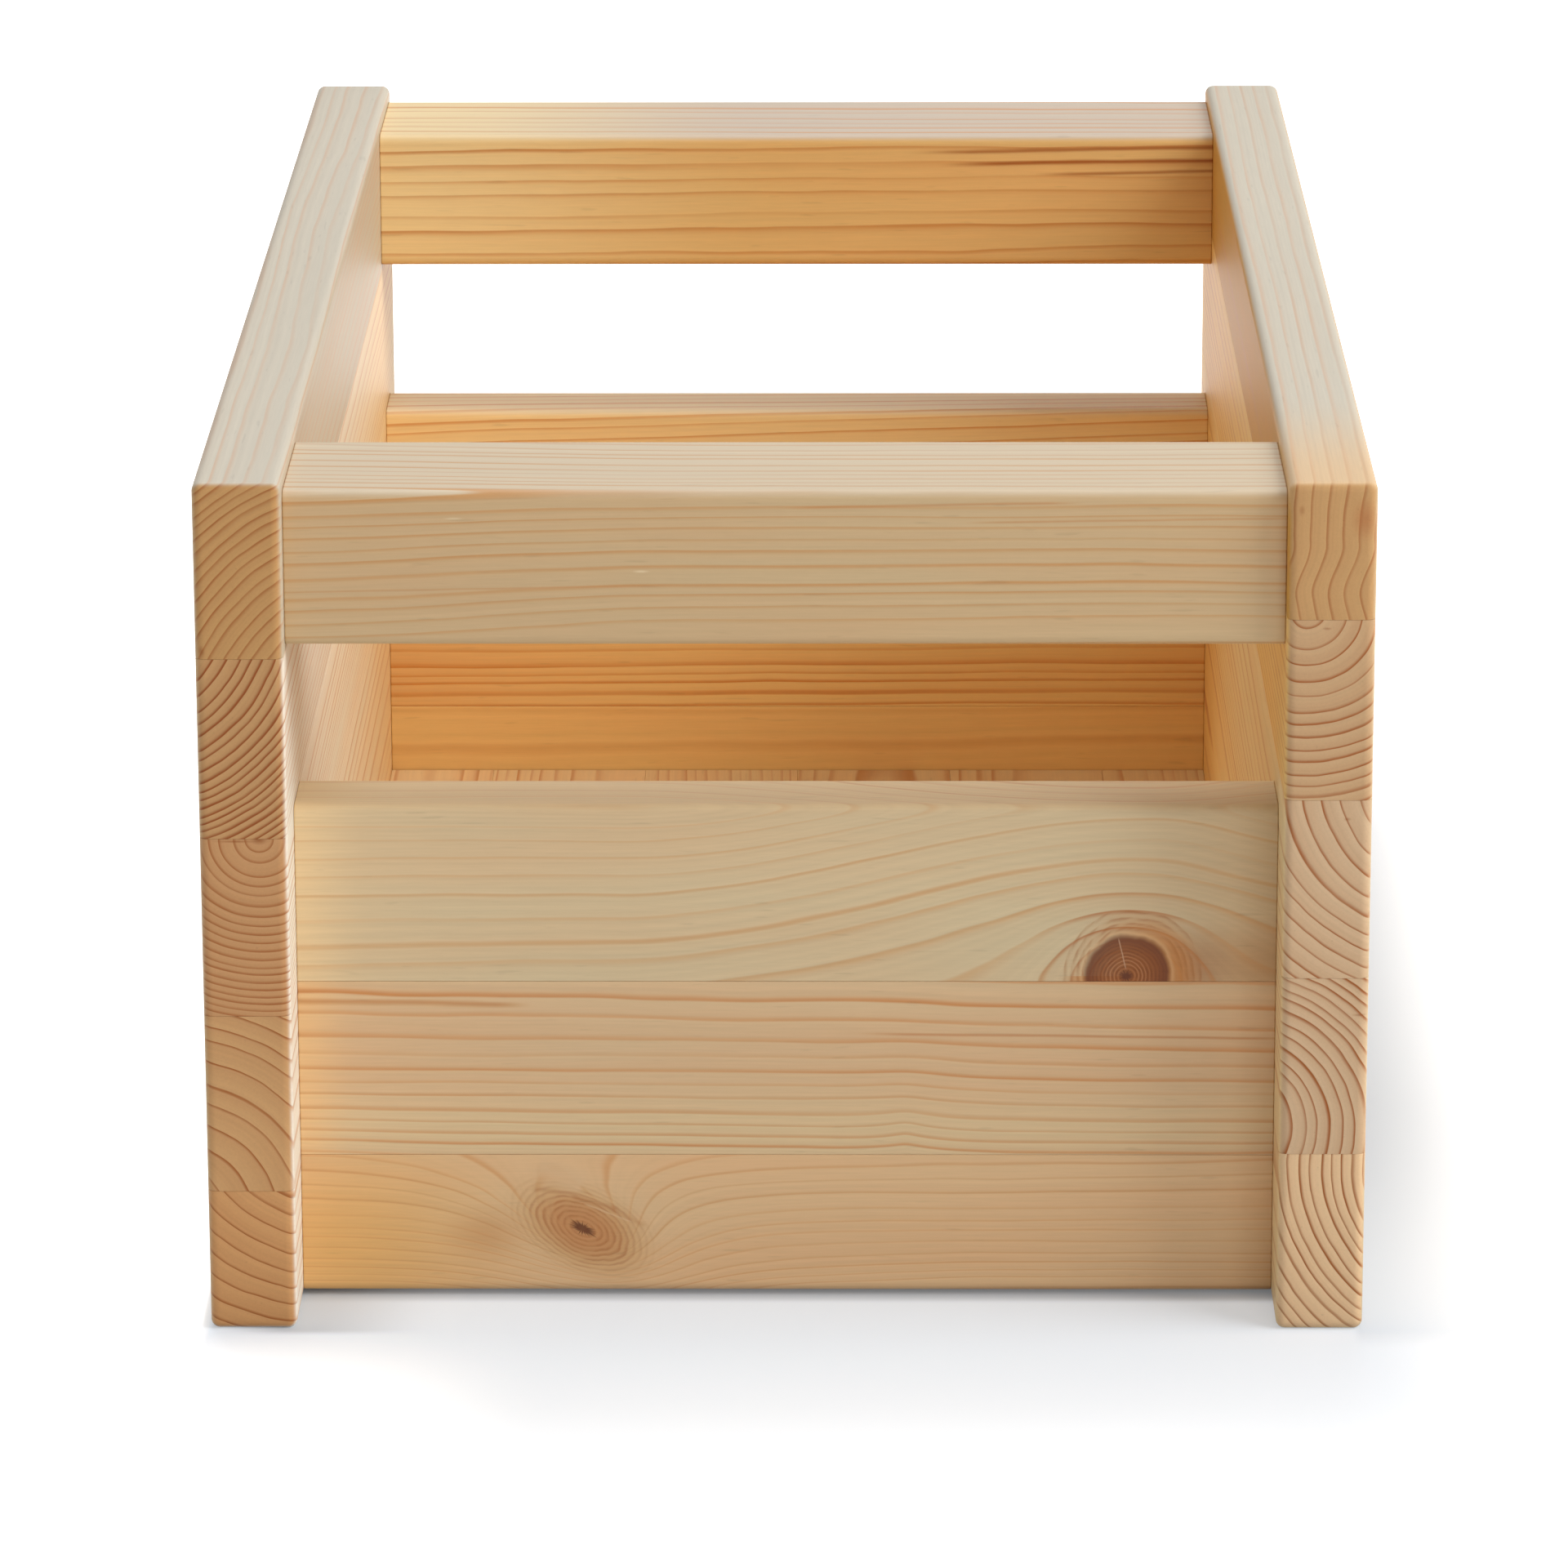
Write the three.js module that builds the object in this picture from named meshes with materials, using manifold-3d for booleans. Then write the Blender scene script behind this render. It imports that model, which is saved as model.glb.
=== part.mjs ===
// A kindling box in light pine. Two edge-glued side boards carry the box; a thick rail and a
// lower panel tie them together at each end, with a hand gap between the two; a floor board
// closes the bottom. Every butt joint is held by hidden, fluted beech dowels in blind bores.
//
// Millimetres, +Z up, +X to the right, the front facing -Y. The origin is on the ground, under
// the middle of the box.

import * as THREE from "three";
import { mergeVertices } from "three/addons/utils/BufferGeometryUtils.js";
import { RoundedBoxGeometry } from "three/addons/geometries/RoundedBoxGeometry.js";
import Module from "manifold-3d";

const wasm = await Module();
wasm.setup();

// ---------------------------------------------------------------- driving dimensions

const BOX_WIDTH = 240; // outside, over both side boards
const BOX_LENGTH = 400; // front to back, the length of a side board

const SIDE_HEIGHT = 182;
const SIDE_THICKNESS = 18;
const SIDE_ARRIS = 1.6; // rounded edges of the side boards

const RAIL_HEIGHT = 32.5;
const RAIL_DEPTH = 42.5; // front to back
const RAIL_DROP = 3; // top of the rail below the top of the sides
const RAIL_SETBACK = 5.3; // face of the rail behind the ends of the sides
const RAIL_ARRIS = 2;

const PANEL_HEIGHT = 107;
const PANEL_THICKNESS = 20;
const PANEL_LIFT = 1; // the panels clear the ground, so the box stands on its sides
const PANEL_SETBACK = 20; // face of the panel behind the ends of the sides
const PANEL_ARRIS = 2.2;

const FLOOR_THICKNESS = 12;
const FLOOR_LIFT = 3;
const FLOOR_CLEARANCE = 0.3; // between the floor board and each panel

const SIDE_STAVES = 5;
const LEFT_LOWEST_STAVE = 30.5; // the outer staves are ripped to width
const LEFT_TOP_STAVE = 36.9;
const RIGHT_LOWEST_STAVE = 38.8;
const RIGHT_TOP_STAVE = 28.6;
const PANEL_STAVES = 3;
const PANEL_LOWEST_STAVE = 30.6; // the two above it are alike
const FLOOR_STAVES = 6;
const FLOOR_LEFT_STAVE = 25.6;
const FLOOR_RIGHT_STAVE = 25.5;
const GLUE_LINE = 0.05; // between staves and in the butt joints

const DOWEL_DIAMETER = 8; // rails and panels
const FLOOR_DOWEL_DIAMETER = 6;
const DOWEL_IN_SIDE = 11.5; // length of a dowel inside a side board
const DOWEL_IN_END_GRAIN = 18.5; // and inside the rail, panel or floor
const BORE_SLACK = 0.5; // a bore is deeper than its dowel by this
const BORE_CLEARANCE = 0.3; // on the radius
const DOWEL_CHAMFER = 1;
const FLUTE_COUNT = 8;
const FLUTE_DEPTH = 0.35;
const RAIL_DOWEL_SPACING = 22; // between the two dowels in the end of a rail
const FLOOR_DOWEL_SPACING = 100; // along each side of the floor board
const FLOOR_DOWELS = 3;

const ARRIS_SEGMENTS = 3; // facets of a rounded edge
const BORE_SIDES = 16;

// ---------------------------------------------------------------- places that follow

const INNER_HALF_WIDTH = BOX_WIDTH / 2 - SIDE_THICKNESS; // inner face of a side board
const INNER_WIDTH = 2 * INNER_HALF_WIDTH;
const FITTED_WIDTH = INNER_WIDTH - 2 * GLUE_LINE; // what fits between the sides
const HALF_LENGTH = BOX_LENGTH / 2;

const RAIL_CENTRE_Z = SIDE_HEIGHT - RAIL_DROP - RAIL_HEIGHT / 2;
const RAIL_CENTRE_Y = HALF_LENGTH - RAIL_SETBACK - RAIL_DEPTH / 2;
const PANEL_CENTRE_Y = HALF_LENGTH - PANEL_SETBACK - PANEL_THICKNESS / 2;
const PANEL_INNER_Y = HALF_LENGTH - PANEL_SETBACK - PANEL_THICKNESS;
const FLOOR_LENGTH = 2 * (PANEL_INNER_Y - FLOOR_CLEARANCE);
const FLOOR_CENTRE_Z = FLOOR_LIFT + FLOOR_THICKNESS / 2;

// ---------------------------------------------------------------- finishes

const END_GRAIN_PINE = { color: 0xd9b98e, roughness: 0.62 };
const PALE_PINE = { color: 0xe3cba6, roughness: 0.55 };
const WARM_PINE = { color: 0xdfbe92, roughness: 0.56 };
const FLOOR_PINE = { color: 0xdcb680, roughness: 0.6 };
const BEECH = { color: 0xcfa77c, roughness: 0.7 };

function finish(look) {
  return new THREE.MeshStandardMaterial({ ...look, metalness: 0 });
}

// ---------------------------------------------------------------- solids

// A closed geometry as a solid that can be cut.
function solidFrom(geometry) {
  const bare = geometry.clone();
  bare.deleteAttribute("normal");
  bare.deleteAttribute("uv");
  const merged = mergeVertices(bare, 1e-4);
  const mesh = new wasm.Mesh({
    numProp: 3,
    vertProperties: merged.attributes.position.array,
    triVerts: new Uint32Array(merged.index.array),
  });
  return new wasm.Manifold(mesh);
}

// The solid back as a flat-shaded geometry.
function geometryFrom(solid) {
  const { vertProperties, triVerts } = solid.getMesh();
  const geometry = new THREE.BufferGeometry();
  geometry.setAttribute("position", new THREE.BufferAttribute(new Float32Array(vertProperties), 3));
  geometry.setIndex(new THREE.BufferAttribute(new Uint32Array(triVerts), 1));
  const faceted = geometry.toNonIndexed();
  faceted.computeVertexNormals();
  return faceted;
}

// A box between two corners.
function block(low, high) {
  const size = high.clone().sub(low);
  const centre = low.clone().add(high).multiplyScalar(0.5);
  const box = new THREE.BoxGeometry(size.x, size.y, size.z);
  return solidFrom(box.translate(centre.x, centre.y, centre.z));
}

// A bore along X, from a face at x towards the inside of the piece.
function bore(x, y, z, radius, depth, direction) {
  const mouth = BORE_CLEARANCE; // the cutter starts just outside the face
  const cutter = new THREE.CylinderGeometry(radius, radius, depth + mouth, BORE_SIDES);
  cutter.rotateZ(Math.PI / 2);
  cutter.translate(x + (direction * (depth - mouth)) / 2, y, z);
  return solidFrom(cutter);
}

// A rounded rectangle around the origin, for a moulded section.
function easedRectangle(width, height, radius) {
  const right = width / 2 - radius;
  const top = height / 2 - radius;
  const quarter = Math.PI / 2;
  const outline = new THREE.Shape();
  outline.absarc(right, -top, radius, -quarter, 0);
  outline.absarc(right, top, radius, 0, quarter);
  outline.absarc(-right, top, radius, quarter, 2 * quarter);
  outline.absarc(-right, -top, radius, 2 * quarter, 3 * quarter);
  outline.closePath();
  return outline;
}

// A section drawn in Y and Z, run along X and centred on it.
function runAlongX(section, length, options = {}) {
  const geometry = new THREE.ExtrudeGeometry(section, {
    depth: length,
    bevelEnabled: false,
    curveSegments: ARRIS_SEGMENTS,
    ...options,
  });
  geometry.translate(0, 0, -length / 2);
  const axes = [new THREE.Vector3(0, 1, 0), new THREE.Vector3(0, 0, 1), new THREE.Vector3(1, 0, 0)];
  return geometry.applyMatrix4(new THREE.Matrix4().makeBasis(...axes));
}

// ---------------------------------------------------------------- edge-glued boards

// Where the staves of a board start and end. The first stave has its own width, and so may the
// last one; the staves between them share what is left.
function staveEdges(start, end, count, firstWidth, lastWidth = null) {
  const equalStaves = lastWidth === null ? count - 1 : count - 2;
  const equalWidth = (end - start - firstWidth - (lastWidth ?? 0)) / equalStaves;
  const edges = [start];
  for (let index = 0; index < count - 1; index += 1) {
    edges.push(start + firstWidth + index * equalWidth);
  }
  edges.push(end);
  return edges;
}

// Cuts a board into staves across one axis and names them, with a glue line at each seam.
function splitIntoStaves(board, axis, edges, reach, name, look) {
  return edges.slice(1).map((edge, index) => {
    const first = index === 0;
    const last = index === edges.length - 2;
    const low = new THREE.Vector3(-reach, -reach, -reach);
    const high = new THREE.Vector3(reach, reach, reach);
    low[axis] = edges[index] + (first ? -1 : GLUE_LINE / 2);
    high[axis] = edge + (last ? 1 : -GLUE_LINE / 2);
    const stave = new THREE.Mesh(geometryFrom(board.intersect(block(low, high))), finish(look));
    stave.name = `${name}_stave_${index + 1}`;
    return stave;
  });
}

// ---------------------------------------------------------------- the dowels' places

// Every dowel crosses the inner face of a side board; its place there is y and z. Both the
// side boards and the pieces between them are bored from this one list.
function dowelPlan() {
  const plan = [];
  for (const [end, facing] of [["front", -1], ["back", 1]]) {
    for (const [index, step] of [-0.5, 0.5].entries()) {
      plan.push({
        piece: `${end}_rail`,
        label: index + 1,
        diameter: DOWEL_DIAMETER,
        y: facing * RAIL_CENTRE_Y + step * RAIL_DOWEL_SPACING,
        z: RAIL_CENTRE_Z,
      });
    }
    const top = PANEL_LIFT + PANEL_HEIGHT;
    const edges = staveEdges(PANEL_LIFT, top, PANEL_STAVES, PANEL_LOWEST_STAVE);
    for (let index = 0; index < PANEL_STAVES; index += 1) {
      plan.push({
        piece: `${end}_panel`,
        label: index + 1,
        diameter: DOWEL_DIAMETER,
        y: facing * PANEL_CENTRE_Y,
        z: (edges[index] + edges[index + 1]) / 2,
      });
    }
  }
  for (let index = 0; index < FLOOR_DOWELS; index += 1) {
    plan.push({
      piece: "floor",
      label: index + 1,
      diameter: FLOOR_DOWEL_DIAMETER,
      y: (index - (FLOOR_DOWELS - 1) / 2) * FLOOR_DOWEL_SPACING,
      z: FLOOR_CENTRE_Z,
    });
  }
  return plan;
}

const DOWELS = dowelPlan();

// A fluted dowel along X: an extruded star of shallow grooves, chamfered at both ends.
function dowelGeometry(diameter) {
  const length = DOWEL_IN_SIDE + DOWEL_IN_END_GRAIN;
  const radius = diameter / 2;
  const star = new THREE.Shape();
  const pointsPerFlute = 3;
  const count = FLUTE_COUNT * pointsPerFlute;
  for (let index = 0; index < count; index += 1) {
    const inGroove = index % pointsPerFlute === 0;
    const reach = inGroove ? radius - FLUTE_DEPTH : radius;
    const angle = (2 * Math.PI * index) / count;
    const point = [reach * Math.cos(angle), reach * Math.sin(angle)];
    if (index === 0) star.moveTo(...point);
    else star.lineTo(...point);
  }
  star.closePath();
  return runAlongX(star, length - 2 * DOWEL_CHAMFER, {
    bevelEnabled: true,
    bevelThickness: DOWEL_CHAMFER,
    bevelSize: DOWEL_CHAMFER,
    bevelOffset: -DOWEL_CHAMFER,
    bevelSegments: 1,
  });
}

// ---------------------------------------------------------------- the pieces

// A side board: one slab with every edge rounded, bored from its inner face, cut into staves.
function sideBoard(name, side, lowestStave, topStave) {
  const slab = new RoundedBoxGeometry(
    SIDE_THICKNESS,
    BOX_LENGTH,
    SIDE_HEIGHT,
    ARRIS_SEGMENTS,
    SIDE_ARRIS,
  );
  slab.translate(0, 0, SIDE_HEIGHT / 2);
  let board = solidFrom(slab);
  const innerFace = (-side * SIDE_THICKNESS) / 2;
  for (const { y, z, diameter } of DOWELS) {
    const radius = diameter / 2 + BORE_CLEARANCE;
    board = board.subtract(bore(innerFace, y, z, radius, DOWEL_IN_SIDE + BORE_SLACK, side));
  }
  const group = new THREE.Group();
  const edges = staveEdges(0, SIDE_HEIGHT, SIDE_STAVES, lowestStave, topStave);
  group.add(...splitIntoStaves(board, "z", edges, BOX_LENGTH, name, END_GRAIN_PINE));
  group.position.x = side * (BOX_WIDTH / 2 - SIDE_THICKNESS / 2);
  return group;
}

// Bores both ends of a piece that fits between the sides. The piece is centred on (y, z).
function boreEnds(solid, piece, y, z) {
  let bored = solid;
  for (const dowel of DOWELS.filter((each) => each.piece === piece)) {
    const radius = dowel.diameter / 2 + BORE_CLEARANCE;
    const depth = DOWEL_IN_END_GRAIN + BORE_SLACK;
    for (const side of [-1, 1]) {
      const face = (side * FITTED_WIDTH) / 2;
      bored = bored.subtract(bore(face, dowel.y - y, dowel.z - z, radius, depth, -side));
    }
  }
  return bored;
}

// A top rail: one thick piece with four rounded long edges.
function rail(end, facing) {
  const name = `${end}_rail`;
  const y = facing * RAIL_CENTRE_Y;
  const section = easedRectangle(RAIL_DEPTH, RAIL_HEIGHT, RAIL_ARRIS);
  const bar = solidFrom(runAlongX(section, FITTED_WIDTH));
  const bored = boreEnds(bar, name, y, RAIL_CENTRE_Z);
  const mesh = new THREE.Mesh(geometryFrom(bored), finish(PALE_PINE));
  mesh.name = name;
  mesh.position.set(0, y, RAIL_CENTRE_Z);
  return mesh;
}

// A lower panel: an edge-glued board on edge, with its four long edges rounded.
function panel(end, facing) {
  const name = `${end}_panel`;
  const y = facing * PANEL_CENTRE_Y;
  const z = PANEL_LIFT + PANEL_HEIGHT / 2;
  const section = easedRectangle(PANEL_THICKNESS, PANEL_HEIGHT, PANEL_ARRIS);
  const board = boreEnds(solidFrom(runAlongX(section, FITTED_WIDTH)), name, y, z);
  const half = PANEL_HEIGHT / 2;
  const edges = staveEdges(-half, half, PANEL_STAVES, PANEL_LOWEST_STAVE);
  const group = new THREE.Group();
  group.add(...splitIntoStaves(board, "z", edges, BOX_WIDTH, name, WARM_PINE));
  group.position.set(0, y, z);
  return group;
}

// The floor board: staves that run front to back, between the sides and the panels.
function floorBoard() {
  const name = "floor";
  const slab = new THREE.BoxGeometry(FITTED_WIDTH, FLOOR_LENGTH, FLOOR_THICKNESS);
  const board = boreEnds(solidFrom(slab), name, 0, FLOOR_CENTRE_Z);
  const half = FITTED_WIDTH / 2;
  const edges = staveEdges(-half, half, FLOOR_STAVES, FLOOR_LEFT_STAVE, FLOOR_RIGHT_STAVE);
  const group = new THREE.Group();
  group.add(...splitIntoStaves(board, "x", edges, BOX_LENGTH, name, FLOOR_PINE));
  group.position.z = FLOOR_CENTRE_Z;
  return group;
}

// The dowels, one at each end of every line in the plan.
function dowels() {
  const group = new THREE.Group();
  for (const { piece, label, diameter, y, z } of DOWELS) {
    for (const [sideName, side] of [["left", -1], ["right", 1]]) {
      const mesh = new THREE.Mesh(dowelGeometry(diameter), finish(BEECH));
      const middle = INNER_HALF_WIDTH + (DOWEL_IN_SIDE - DOWEL_IN_END_GRAIN) / 2;
      mesh.name = `${piece}_${sideName}_dowel_${label}`;
      mesh.position.set(side * middle, y, z);
      group.add(mesh);
    }
  }
  return group;
}

// ---------------------------------------------------------------- the box

const box = new THREE.Group();
box.name = "kindling_box";
box.add(sideBoard("left_side", -1, LEFT_LOWEST_STAVE, LEFT_TOP_STAVE));
box.add(sideBoard("right_side", 1, RIGHT_LOWEST_STAVE, RIGHT_TOP_STAVE));
for (const [end, facing] of [["front", -1], ["back", 1]]) {
  box.add(rail(end, facing));
  box.add(panel(end, facing));
}
box.add(floorBoard());
box.add(dowels());

export default box;
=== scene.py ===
# %% [markdown]
# # A kindling box in pine
#
# The box is a handful of boards: two edge-glued sides, a rail and a lower panel at each end,
# and a floor board. The joinery is already modelled at its real size; this script gives every
# board its eased edges, its wood and its light. Wood is the whole look of this object, so most
# of the cells below are about one question: how does a growth ring show on the face, the edge
# and the end of a board, when all three are cuts through the same log?

import math
import random
from collections import namedtuple

import bpy
from mathutils import Matrix, Vector


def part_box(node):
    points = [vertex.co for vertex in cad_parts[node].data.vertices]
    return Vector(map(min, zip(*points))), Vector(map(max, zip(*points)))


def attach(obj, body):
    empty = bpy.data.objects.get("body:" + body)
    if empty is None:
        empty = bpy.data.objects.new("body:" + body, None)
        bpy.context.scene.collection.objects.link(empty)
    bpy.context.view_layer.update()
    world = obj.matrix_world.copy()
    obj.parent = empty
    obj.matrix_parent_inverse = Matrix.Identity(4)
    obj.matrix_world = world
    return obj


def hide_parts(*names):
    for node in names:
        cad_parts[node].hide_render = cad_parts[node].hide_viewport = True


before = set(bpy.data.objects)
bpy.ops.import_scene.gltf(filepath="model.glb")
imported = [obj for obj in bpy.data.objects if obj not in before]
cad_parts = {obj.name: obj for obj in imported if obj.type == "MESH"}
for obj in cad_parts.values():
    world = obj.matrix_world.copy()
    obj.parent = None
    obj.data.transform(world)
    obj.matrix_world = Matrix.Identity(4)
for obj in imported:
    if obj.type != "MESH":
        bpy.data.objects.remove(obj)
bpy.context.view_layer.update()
MM = 0.001
print("pieces in the model:", len(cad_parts))

# %% [markdown]
# ## The camera
#
# The photograph matches a long lens about 1.6 metres from the front end, looking down at
# roughly seventeen degrees, a finger's width right of the middle. A camera is built here from
# the direction it looks in and a small roll, which is easier to reason about than Euler angles.

# %% Place the camera
IMAGE_WIDTH = 1920
FOCAL_PIXELS = 9702
SENSOR = 36.0
CAMERA_PLACE = Vector((13.6, -1750.0, 581.4)) * MM
CAMERA_DOWN = math.radians(16.62)
CAMERA_LEFT = math.radians(0.51)
CAMERA_ROLL = math.radians(-0.14)


def place_camera():
    """A camera at the photograph's viewing angle."""
    data = bpy.data.cameras.new("camera")
    data.sensor_width = SENSOR
    data.lens = FOCAL_PIXELS / IMAGE_WIDTH * SENSOR
    data.clip_start = 0.05
    data.clip_end = 50
    camera = bpy.data.objects.new("camera", data)
    bpy.context.scene.collection.objects.link(camera)
    turn = Matrix.Rotation(CAMERA_LEFT, 4, "Z")
    tilt = Matrix.Rotation(math.pi / 2 - CAMERA_DOWN, 4, "X")
    roll = Matrix.Rotation(CAMERA_ROLL, 4, "Z")
    camera.matrix_world = Matrix.Translation(CAMERA_PLACE) @ turn @ tilt @ roll
    bpy.context.scene.camera = camera
    return camera


camera = place_camera()
print("lens, mm:", round(camera.data.lens, 1))

# %% [markdown]
# ## Writing node trees as arithmetic
#
# Wood needs a lot of small sums, and a sum is far easier to read as `1 - late * 0.4` than as
# three nodes and four links. `Wire` wraps one socket, and using `+`, `-`, `*` or `/` on it adds
# the Math node (or the Vector Math node, when the socket carries a vector). `Graph.add` makes
# every other kind of node: its type, its settings, then its sockets. The same two classes serve
# the shader trees and the Geometry Nodes tree.

# %% A socket that can be used in a sum
VECTOR_KINDS = ("VECTOR", "ROTATION")


class Wire:
    """One output socket, with arithmetic."""

    def __init__(self, graph, socket):
        self.graph = graph
        self.socket = socket

    def _join(self, operation, first, second):
        wires = [x for x in (first, second) if isinstance(x, Wire)]
        if any(w.socket.type in VECTOR_KINDS for w in wires):
            return self.graph.vector(operation, first, second)
        return self.graph.math(operation, first, second)

    def __add__(self, other):
        return self._join("ADD", self, other)

    def __radd__(self, other):
        return self._join("ADD", other, self)

    def __sub__(self, other):
        return self._join("SUBTRACT", self, other)

    def __rsub__(self, other):
        return self._join("SUBTRACT", other, self)

    def __mul__(self, other):
        return self._join("MULTIPLY", self, other)

    def __rmul__(self, other):
        return self._join("MULTIPLY", other, self)

    def __truediv__(self, other):
        return self._join("DIVIDE", self, other)

    def __neg__(self):
        return self._join("MULTIPLY", self, -1.0)


# %% A tree that nodes are added to
class Graph:
    """Adds nodes to one tree, and returns their outputs as wires."""

    def __init__(self, tree):
        self.tree = tree

    def add(self, kind, settings=None, sockets=None, output=0):
        """A node of one type: its settings first, then the values or links of its sockets."""
        node = self.tree.nodes.new(kind)
        for name, value in (settings or {}).items():
            setattr(node, name, value)
        for name, value in (sockets or {}).items():
            if value is not None:
                self.feed(node.inputs[name], value)
        return Wire(self, node.outputs[output]) if output is not None else None

    def feed(self, socket, value):
        """Links a wire to a socket, or sets its value."""
        if isinstance(value, Wire):
            self.tree.links.new(value.socket, socket)
        elif socket.type in VECTOR_KINDS and isinstance(value, (int, float)):
            socket.default_value = (value, value, value)
        else:
            socket.default_value = value

    def math(self, operation, *values):
        return self.add("ShaderNodeMath", {"operation": operation}, dict(enumerate(values)))

    def vector(self, operation, *values):
        sockets = dict(enumerate(values))
        return self.add("ShaderNodeVectorMath", {"operation": operation}, sockets)

    def scale(self, vector, factor):
        """A vector or a colour, multiplied by a number."""
        return self.vector("SCALE", vector, None, None, factor)

    def ramp(self, value, low, high, low_out=0.0, high_out=1.0, smooth=True):
        """Maps low..high to low_out..high_out, clamped, with soft ends."""
        settings = {"interpolation_type": "SMOOTHSTEP" if smooth else "LINEAR"}
        sockets = {0: value, 1: low, 2: high, 3: low_out, 4: high_out}
        return self.add("ShaderNodeMapRange", settings, sockets)

    def mix(self, factor, first, second):
        """Mixes two colours."""
        return self.add("ShaderNodeMix", {"data_type": "RGBA"}, {0: factor, 6: first, 7: second}, 2)

    def noise(self, place, scale, detail=2.0, roughness=0.5):
        """Noise at a place, centred on zero and about -1 to 1."""
        sockets = {"Vector": place, "Scale": scale, "Detail": detail, "Roughness": roughness}
        return self.add("ShaderNodeTexNoise", {"noise_dimensions": "3D"}, sockets) * 2.0 - 1.0

    def noise_1d(self, value, scale, detail=1.0):
        """Noise along one number, centred on zero and about -1 to 1."""
        sockets = {"W": value, "Scale": scale, "Detail": detail}
        return self.add("ShaderNodeTexNoise", {"noise_dimensions": "1D"}, sockets) * 2.0 - 1.0

    def length(self, x, y):
        """The length of a vector with two parts."""
        return self.math("SQRT", x * x + y * y)

    def combine(self, x, y, z):
        """A vector from its three parts."""
        return self.add("ShaderNodeCombineXYZ", None, {0: x, 1: y, 2: z})

    def part(self, vector, axis):
        """One part of a vector: X, Y or Z."""
        return self.add("ShaderNodeSeparateXYZ", None, {0: vector}, axis)


def new_material(name):
    """An empty material, and the graph that fills it."""
    material = bpy.data.materials.new(name)
    material.use_nodes = True
    material.node_tree.nodes.clear()
    return material, Graph(material.node_tree)


# %% [markdown]
# ## Where each board grew
#
# A stave is a stick cut out of a log, so its rings are circles around the log's pith. Each
# stave below says where that pith runs, in millimetres across its section: sideways from the
# middle of its board, and as a height above the ground. It also says how far apart the rings
# are and how much the pith leans or bends along the board. A pith close behind the face gives
# the arched, flat-sawn figure, and a pith far above or below it gives straight lines. The ends
# of the side boards show the same rings as arcs, without any extra work.

# %% The wood of one stave
class Log:
    """How the wood of one stave grew. Lengths are in millimetres, colours are sRGB."""

    def __init__(self, pith, gaps, **more):
        self.pith = pith  # sideways or front to back, and height
        self.gaps = gaps  # ring spacing at the nearest and at the farthest corner
        self.lean = more.get("lean", (0.0, 0.0))  # drift of the pith per mm along the grain
        self.bends = more.get("bends", [])  # start, end and rise of each bend in the log
        self.wander = more.get("wander", 0.6)  # how far rings stray from true circles
        self.ripple = more.get("ripple", 0.5)  # small waves in them, in mm
        self.uneven = more.get("uneven", 0.5)  # how much the ring spacing varies
        self.sway = more.get("sway", None)  # heights and size of a step in the rings
        self.face = more.get("face", (233, 202, 158))  # early wood
        self.line = more.get("line", (208, 142, 84))  # late wood
        self.top = more.get("top", None)  # early wood of a top face, painted paler and greyer: painted sheen
        self.outside = more.get("outside", None)  # side and colour of a face unlike the inner one
        self.end_face = more.get("end_face", (216, 166, 100))  # the same two on an end
        self.end_line = more.get("end_line", (158, 88, 36))
        self.contrast = more.get("contrast", 0.8)  # of the late wood, on faces and on ends
        self.end_contrast = more.get("end_contrast", 1.0)
        self.late = more.get("late", 0.6)  # where in a ring the late wood begins
        self.knots = more.get("knots", [])
        self.patches = more.get("patches", [])
        self.streaks = more.get("streaks", [])
        self.spots = more.get("spots", [])


# %% Knots
class Knot:
    """A branch that passes through the stave. Places and sizes are in millimetres."""

    def __init__(self, along, height, radius, **more):
        self.along = along
        self.height = height
        self.radius = radius  # across the grain, out to its rim; 0 for a mere ripple
        self.stretch = more.get("stretch", 1.0)  # length over width
        self.turn = math.radians(more.get("turn", 0.0))
        self.bulge = more.get("bulge", 20.0)  # how far the rings are pushed aside
        self.reach = more.get("reach", (10.0, 11.0))  # of that push, along and across
        self.dark = more.get("dark", 0.92)  # how much of the stem's colour it hides
        self.soft = more.get("soft", 0.05)  # how gradually it ends, as a share of its radius
        self.collar = more.get("collar", 1.0)  # strength of the pale collar around it
        self.wood = more.get("wood", (184, 112, 68))  # its middle
        self.edge = more.get("edge", (142, 72, 38))  # its rim
        self.line = more.get("line", (118, 60, 32))  # its own rings
        self.gap = more.get("gap", 1.1)  # spacing of the branch's own rings
        self.heart = more.get("heart", (1.4, 1.2))  # the cracked heart, along and across


# %% Stains, painted light and shade, streaks and spots
# Lengths are in millimetres. A patch is a soft stain on the faces, or a patch of painted light or
# painted shade, placed along the grain and in height. A streak is a soft line from one such place
# to another: resin, or a pale crack. A spot is a pit or a crack in the end grain, placed sideways
# and in height.
Patch = namedtuple("Patch", "place reach stain strength")
Streak = namedtuple("Streak", "start end width stain strength")
Spot = namedtuple("Spot", "place reach stain strength")


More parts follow.
